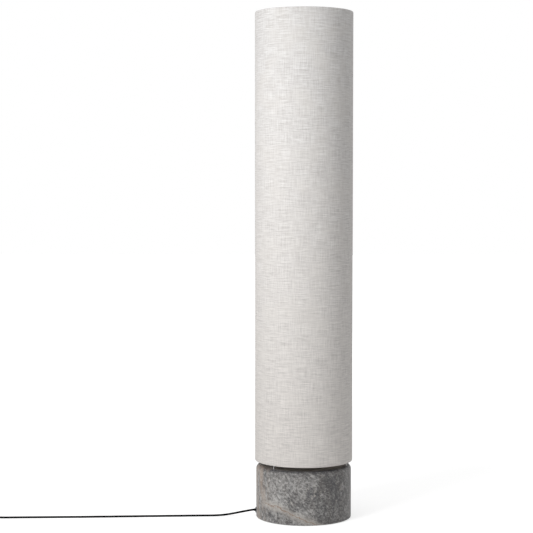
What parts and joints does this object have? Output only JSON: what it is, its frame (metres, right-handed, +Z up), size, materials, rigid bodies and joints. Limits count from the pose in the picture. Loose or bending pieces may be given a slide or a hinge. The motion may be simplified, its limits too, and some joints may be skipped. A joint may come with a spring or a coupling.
{
  "type": "column floor lamp",
  "caption": "Floor lamp: a tall straight linen cylinder shade stands over a short grey stone drum with a shadow gap, a black lead with foot switch and plug leaving low at the side.",
  "frame": {"origin": "centre of the round felt pad's underside, on the floor under the lamp's upright axis", "axes": "+Z up along the stem; +X to the right seen from the front; the front looks towards -Y; the lead leaves towards -X"},
  "size_m": [1.0884, 0.232, 1.2],
  "materials": {
    "linen": "matt, slubby plain weave",
    "lining": "smooth matt",
    "stone": "honed",
    "felt": "pressed felt",
    "rubber": "matt",
    "zinc_steel": "bright zinc plated",
    "white_wire": "satin powder coat",
    "black_steel": "satin powder coat",
    "brass": "turned",
    "black_plastic": "moulded",
    "white_plastic": "moulded",
    "opal": "opal diffuser",
    "nickel": "nickel plated",
    "circuit_board": "lacquered",
    "cord_sheath": "smooth flexible sheath",
    "core_wires": "insulated wire"
  },
  "bodies": {
    "base": {"felt_pad": "felt", "stone_base": "stone", "cover_plate": "zinc_steel", "cover_screws": "zinc_steel", "stone_inserts": "brass", "cord_anchor": "white_plastic", "anchor_screws": "zinc_steel", "terminal_block": "white_plastic", "terminal_screws": "brass", "inner_cord": "cord_sheath", "stem_wires": "core_wires", "holder_leads": "core_wires", "foot_gasket": "rubber", "foot_plate": "black_steel", "stem_nipple": "zinc_steel", "clamp_washer": "zinc_steel", "clamp_nut": "zinc_steel", "stem_tube": "black_steel", "stem_grub_screw": "zinc_steel", "stem_cap": "black_steel", "locating_pins": "zinc_steel", "bracket_lower": "black_steel", "bracket_upper": "black_steel", "bracket_screws": "zinc_steel", "holder_base_lower": "black_plastic", "holder_base_upper": "black_plastic", "holder_shell_lower": "black_plastic", "holder_shell_upper": "black_plastic", "holder_contacts": "brass", "holder_nuts": "zinc_steel", "switch_lower_shell": "black_plastic", "switch_upper_shell": "black_plastic", "switch_board": "circuit_board", "switch_spring": "zinc_steel", "switch_screws": "zinc_steel", "switch_reliefs": "rubber", "plug_body": "black_plastic", "plug_pins": "nickel", "plug_sleeves": "black_plastic", "cord_gland": "rubber", "cord_run": "cord_sheath", "cord_lead": "cord_sheath", "cord_coil": "cord_sheath", "cord_tail": "cord_sheath"},
    "shade": {"shade_linen": "linen", "shade_lining": "lining", "top_frame": "white_wire", "bottom_frame": "white_wire", "finial_washer": "brass"},
    "finial": {"finial": "brass"},
    "lower_bulb": {"bulb_lower_cap": "nickel", "bulb_lower_housing": "white_plastic", "bulb_lower_globe": "opal"},
    "upper_bulb": {"bulb_upper_cap": "nickel", "bulb_upper_housing": "white_plastic", "bulb_upper_globe": "opal"},
    "foot_button": {"switch_button": "black_plastic"}
  },
  "joints": [
    {"name": "shade_lift", "type": "slide", "parent": "base", "child": "shade", "axis": [0, 0, 1], "range_m": [0, 1.07]},
    {"name": "finial_turn", "type": "hinge", "parent": "shade", "child": "finial", "pos_m": [0, 0, 1.186], "axis": [0, 0, 1], "continuous": true},
    {"name": "lower_bulb_out", "type": "slide", "parent": "base", "child": "lower_bulb", "axis": [0, 0, 1], "range_m": [0, 0.05]},
    {"name": "upper_bulb_out", "type": "slide", "parent": "base", "child": "upper_bulb", "axis": [0, 0, 1], "range_m": [0, 0.05]},
    {"name": "foot_button_press", "type": "slide", "parent": "base", "child": "foot_button", "axis": [0, 0, -1], "range_m": [0, 0.003], "stiffness_N_per_m": 600, "springref_m": -0.002, "deforming": ["switch_spring"]}
  ]
}
